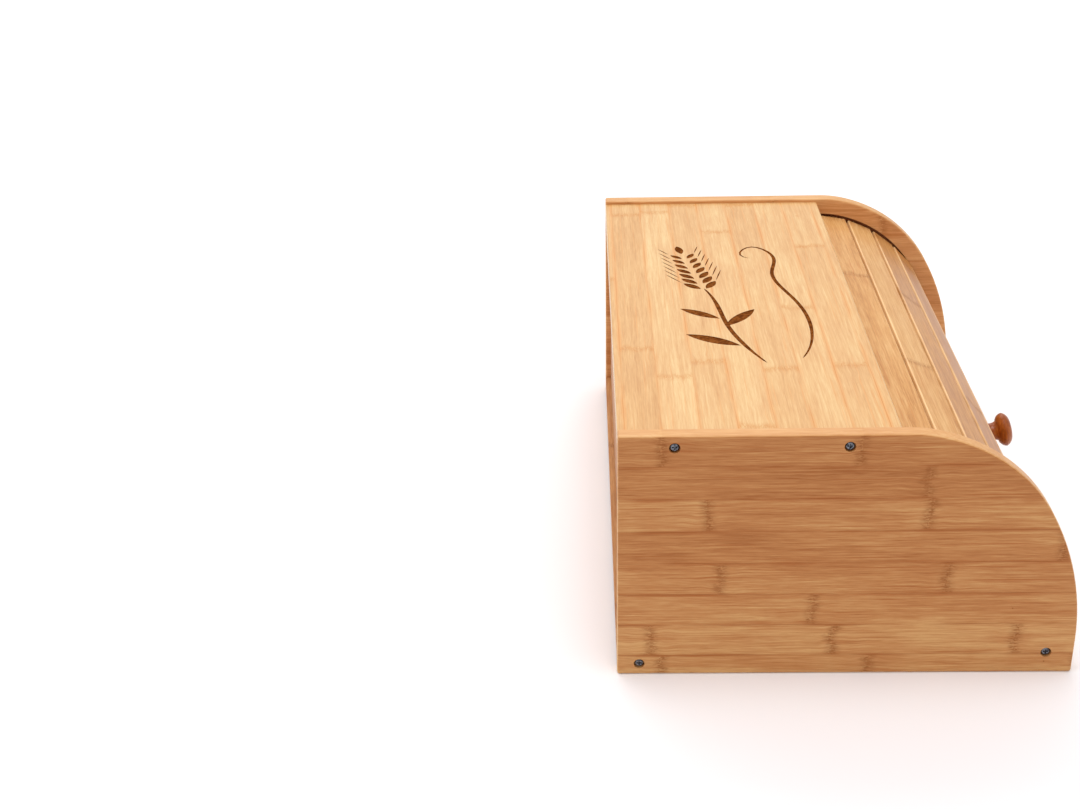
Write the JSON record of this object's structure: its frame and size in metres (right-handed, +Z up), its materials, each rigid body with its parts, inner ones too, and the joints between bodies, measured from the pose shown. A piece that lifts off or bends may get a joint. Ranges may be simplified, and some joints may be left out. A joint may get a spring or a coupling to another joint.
{
  "type": "roll-top bread bin",
  "caption": "Bamboo bread bin with a slatted roll-top front that slides up and back under the top board, opened by a turned knob.",
  "frame": {"origin": "on the floor under the middle of the bin, knob included", "axes": "+X to the right seen from the front, the front faces -Y, +Z up"},
  "size_m": [0.396, 0.2769, 0.162],
  "materials": {
    "bamboo_side": "clear satin lacquer",
    "bamboo_top": "clear satin lacquer",
    "bamboo_slat": "clear satin lacquer",
    "bamboo_inner": "plain, sanded",
    "knob_wood": "gloss lacquer",
    "canvas": "plain woven cotton",
    "steel": "zinc plated"
  },
  "bodies": {
    "cabinet": {"left_side_panel": "bamboo_side", "right_side_panel": "bamboo_side", "top_panel": "bamboo_top", "bottom_panel": "bamboo_inner", "back_panel": "bamboo_inner", "front_rail": "bamboo_slat", "case_screws": "steel"},
    "slat_01_set": {"slat_01": "bamboo_slat", "canvas_01": "canvas"},
    "slat_02_set": {"slat_02": "bamboo_slat", "canvas_02": "canvas", "knob": "knob_wood", "knob_screw": "steel"},
    "slat_03_set": {"slat_03": "bamboo_slat", "canvas_03": "canvas"},
    "slat_04_set": {"slat_04": "bamboo_slat", "canvas_04": "canvas"},
    "slat_05_set": {"slat_05": "bamboo_slat", "canvas_05": "canvas"},
    "slat_06_set": {"slat_06": "bamboo_slat", "canvas_06": "canvas"},
    "slat_07_set": {"slat_07": "bamboo_slat", "canvas_07": "canvas"},
    "slat_08_set": {"slat_08": "bamboo_slat", "canvas_08": "canvas"},
    "slat_09_set": {"slat_09": "bamboo_slat", "canvas_09": "canvas"},
    "slat_10_set": {"slat_10": "bamboo_slat", "canvas_10": "canvas"}
  },
  "joints": [
    {"name": "slat_02_swing", "type": "hinge", "parent": "cabinet", "child": "slat_02_set", "pos_m": [0, 0.00279, 0.03278], "axis": [-1, 0, 0], "range_deg": [0, 53.89]},
    {"name": "slat_01_swing", "type": "hinge", "parent": "cabinet", "child": "slat_01_set", "pos_m": [0, 0.0215, 0.02497], "axis": [-1, 0, 0], "range_deg": [0, 46.3]},
    {"name": "slat_03_swing", "type": "hinge", "parent": "cabinet", "child": "slat_03_set", "pos_m": [0, -0.01365, 0.04486], "axis": [-1, 0, 0], "range_deg": [0, 64.3]},
    {"name": "slat_04_swing", "type": "hinge", "parent": "cabinet", "child": "slat_04_set", "pos_m": [0, -0.01715, 0.04863], "axis": [-1, 0, 0], "range_deg": [0, 66.98]},
    {"name": "slat_05_swing", "type": "hinge", "parent": "cabinet", "child": "slat_05_set", "pos_m": [0, -0.00954, 0.02443], "axis": [-1, 0, 0], "range_deg": [0, 52.59]},
    {"name": "slat_06_swing", "type": "hinge", "parent": "cabinet", "child": "slat_06_set", "pos_m": [0, -0.00115, -0.01993], "axis": [-1, 0, 0], "range_deg": [0, 38.26]},
    {"name": "slat_07_swing", "type": "hinge", "parent": "cabinet", "child": "slat_07_set", "pos_m": [0, 0.00858, -0.20554], "axis": [-1, 0, 0], "range_deg": [0, 18.02]},
    {"name": "slat_08_swing", "type": "hinge", "parent": "cabinet", "child": "slat_08_set", "pos_m": [0, 0.00799, -1.00216], "axis": [-1, 0, 0], "range_deg": [0, 5.5]},
    {"name": "slat_09_slide", "type": "slide", "parent": "cabinet", "child": "slat_09_set", "axis": [0, 1, 0], "range_m": [0, 0.10999]},
    {"name": "slat_10_slide", "type": "slide", "parent": "cabinet", "child": "slat_10_set", "axis": [0, 1, 0], "range_m": [0, 0.10999]}
  ],
  "couplings": [
    {"joint": "slat_01_swing", "follows": "slat_02_swing", "ratio": 0.8592},
    {"joint": "slat_03_swing", "follows": "slat_02_swing", "ratio": 1.1931},
    {"joint": "slat_04_swing", "follows": "slat_02_swing", "ratio": 1.2429},
    {"joint": "slat_05_swing", "follows": "slat_02_swing", "ratio": 0.97584},
    {"joint": "slat_06_swing", "follows": "slat_02_swing", "ratio": 0.70991},
    {"joint": "slat_07_swing", "follows": "slat_02_swing", "ratio": 0.33448},
    {"joint": "slat_08_swing", "follows": "slat_02_swing", "ratio": 0.10198},
    {"joint": "slat_09_slide", "follows": "slat_02_swing", "m_per_rad": 0.11694},
    {"joint": "slat_10_slide", "follows": "slat_02_swing", "m_per_rad": 0.11694}
  ]
}
